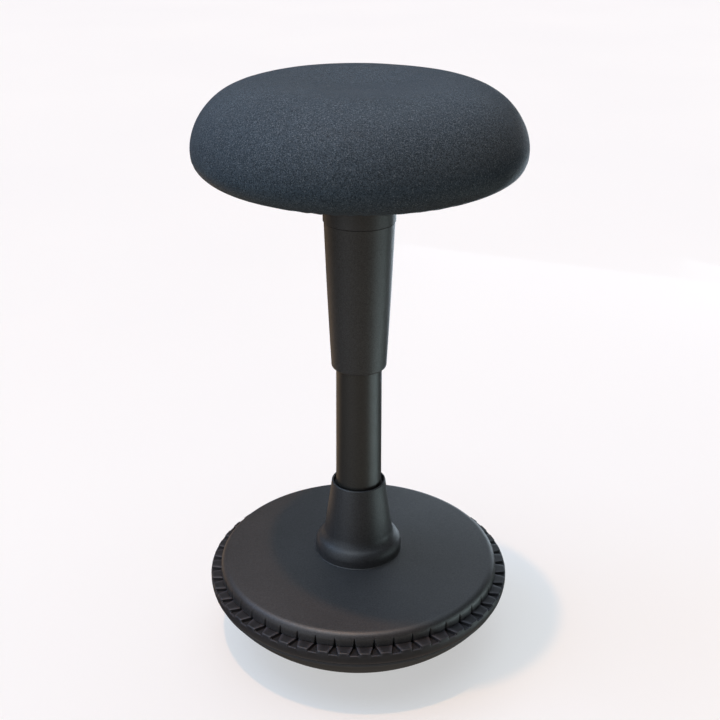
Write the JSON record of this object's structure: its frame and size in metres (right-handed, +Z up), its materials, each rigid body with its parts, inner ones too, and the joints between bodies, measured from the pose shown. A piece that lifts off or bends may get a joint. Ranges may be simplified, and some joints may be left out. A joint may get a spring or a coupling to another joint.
{
  "type": "wobble stool",
  "caption": "Height-adjustable round stool that rocks on a domed, weighted rubber foot, with a padded dished seat on an inverted gas lift.",
  "frame": {"origin": "on the floor under the column's axis, at rest", "axes": "+Z up along the column; +Y from the column towards the release lever; +X to the right of someone facing along +Y"},
  "size_m": [0.3512, 0.3512, 0.6552],
  "materials": {
    "foot_rubber": "matt moulded rubber",
    "tread_rubber": "matt moulded rubber",
    "seal_rubber": "matt",
    "cast_iron": "as cast",
    "black_steel": "black powder coat",
    "zinc_steel": "zinc plated",
    "bearing_steel": "ground",
    "column_paint": "fine-textured satin black",
    "chrome": "polished",
    "brass": "machined",
    "aluminium": "machined",
    "base_plastic": "fine-grained",
    "sleeve_plastic": "satin, fine-grained",
    "natural_plastic": "natural",
    "grip_plastic": "satin",
    "plywood": "plain plywood",
    "foam": "open-cell foam",
    "seat_fabric": "fine knitted fabric, soft sheen"
  },
  "bodies": {
    "base": {"rocker_foot": "foot_rubber", "base_weight": "cast_iron", "weight_bolts": "zinc_steel", "weight_nuts": "zinc_steel", "base_plate": "black_steel", "hub_socket": "black_steel", "hub_ribs": "black_steel", "tread_ring": "tread_rubber", "base_cover": "base_plastic", "foot_screws": "zinc_steel", "neck_seal": "seal_rubber", "column_tube": "column_paint", "column_end_plate": "zinc_steel", "guide_bush": "natural_plastic", "bearing_lower_washer": "bearing_steel", "bearing_balls": "bearing_steel", "bearing_cage": "brass"},
    "lift_rod": {"bearing_upper_washer": "bearing_steel", "travel_buffer": "seal_rubber", "rod_clip": "zinc_steel", "piston_rod": "chrome", "piston": "brass", "piston_seal": "seal_rubber"},
    "seat": {"pressure_cylinder": "black_steel", "rod_guide": "aluminium", "rod_seal": "seal_rubber", "valve_body": "aluminium", "taper_socket": "black_steel", "lift_housing": "black_steel", "lever_pin": "bearing_steel", "upper_sleeve": "sleeve_plastic", "sleeve_screws": "zinc_steel", "collar": "sleeve_plastic", "mount_plate": "black_steel", "mount_bolts": "zinc_steel", "bolt_washers": "zinc_steel", "under_cover": "base_plastic", "under_cover_screws": "zinc_steel", "seat_board": "plywood", "t_nuts": "zinc_steel", "cover_staples": "zinc_steel", "seat_foam": "foam", "seat_cover": "seat_fabric"},
    "lever": {"release_lever": "black_steel", "lever_grip": "grip_plastic"},
    "valve": {"valve_pin": "bearing_steel"}
  },
  "joints": [
    {"name": "seat_swivel", "type": "hinge", "parent": "base", "child": "lift_rod", "pos_m": [0, 0, 0.05], "axis": [0, 0, 1], "continuous": true},
    {"name": "height", "type": "slide", "parent": "lift_rod", "child": "seat", "axis": [0, 0, 1], "range_m": [-0.08, 0.06]},
    {"name": "lever_lift", "type": "hinge", "parent": "seat", "child": "lever", "pos_m": [0, 0.02, 0.547], "axis": [1, 0, 0], "range_deg": [0, 8], "stiffness_Nm_per_rad": 6, "springref_deg": -3.44},
    {"name": "valve_press", "type": "slide", "parent": "seat", "child": "valve", "axis": [0, 0, -1], "range_m": [0, 0.0028]}
  ],
  "couplings": [
    {"joint": "valve_press", "follows": "lever_lift", "m_per_rad": 0.02}
  ]
}
